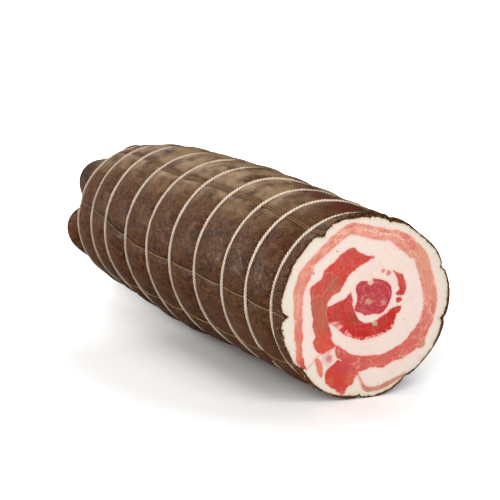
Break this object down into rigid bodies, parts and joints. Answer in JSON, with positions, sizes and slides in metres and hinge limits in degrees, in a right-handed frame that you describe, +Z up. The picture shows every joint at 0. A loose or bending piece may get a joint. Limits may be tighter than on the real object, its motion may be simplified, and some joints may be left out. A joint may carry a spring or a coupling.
{
  "type": "rolled pancetta",
  "caption": "Rolled cured pork belly in a dark dried casing, tied with string round and lengthwise, and cut straight across at one end to show its spiral of lean and fat.",
  "frame": {"origin": "bottom centre of the bounding box, on the surface the roll lies on, under the middle of its length", "axes": "+X along the roll, towards the cut end. +Z up. The roll lies on its side along X."},
  "size_m": [0.4068, 0.1326, 0.1304],
  "materials": {
    "casing": "dull dried casing, mottled brown; cream-white fat at the cut",
    "pale_lean": "moist salmon-pink lean",
    "red_lean": "moist red lean",
    "bright_lean": "moist bright red lean",
    "core_lean": "moist crimson lean",
    "twine": "beige twisted kitchen twine"
  },
  "bodies": {
    "root": {"lean_outer": "pale_lean", "lean_middle": "red_lean", "lean_inner": "bright_lean", "lean_core": "core_lean", "lean_arc": "bright_lean", "lean_blob": "bright_lean", "lean_strip": "pale_lean", "lean_sliver": "pale_lean", "fat_roll": "casing", "round_string_01": "twine", "round_string_02": "twine", "round_string_03": "twine", "round_string_04": "twine", "round_string_05": "twine", "round_string_06": "twine", "round_string_07": "twine", "round_string_08": "twine", "round_string_09": "twine", "round_string_10": "twine", "lengthwise_strings": "twine"}
  },
  "joints": []
}
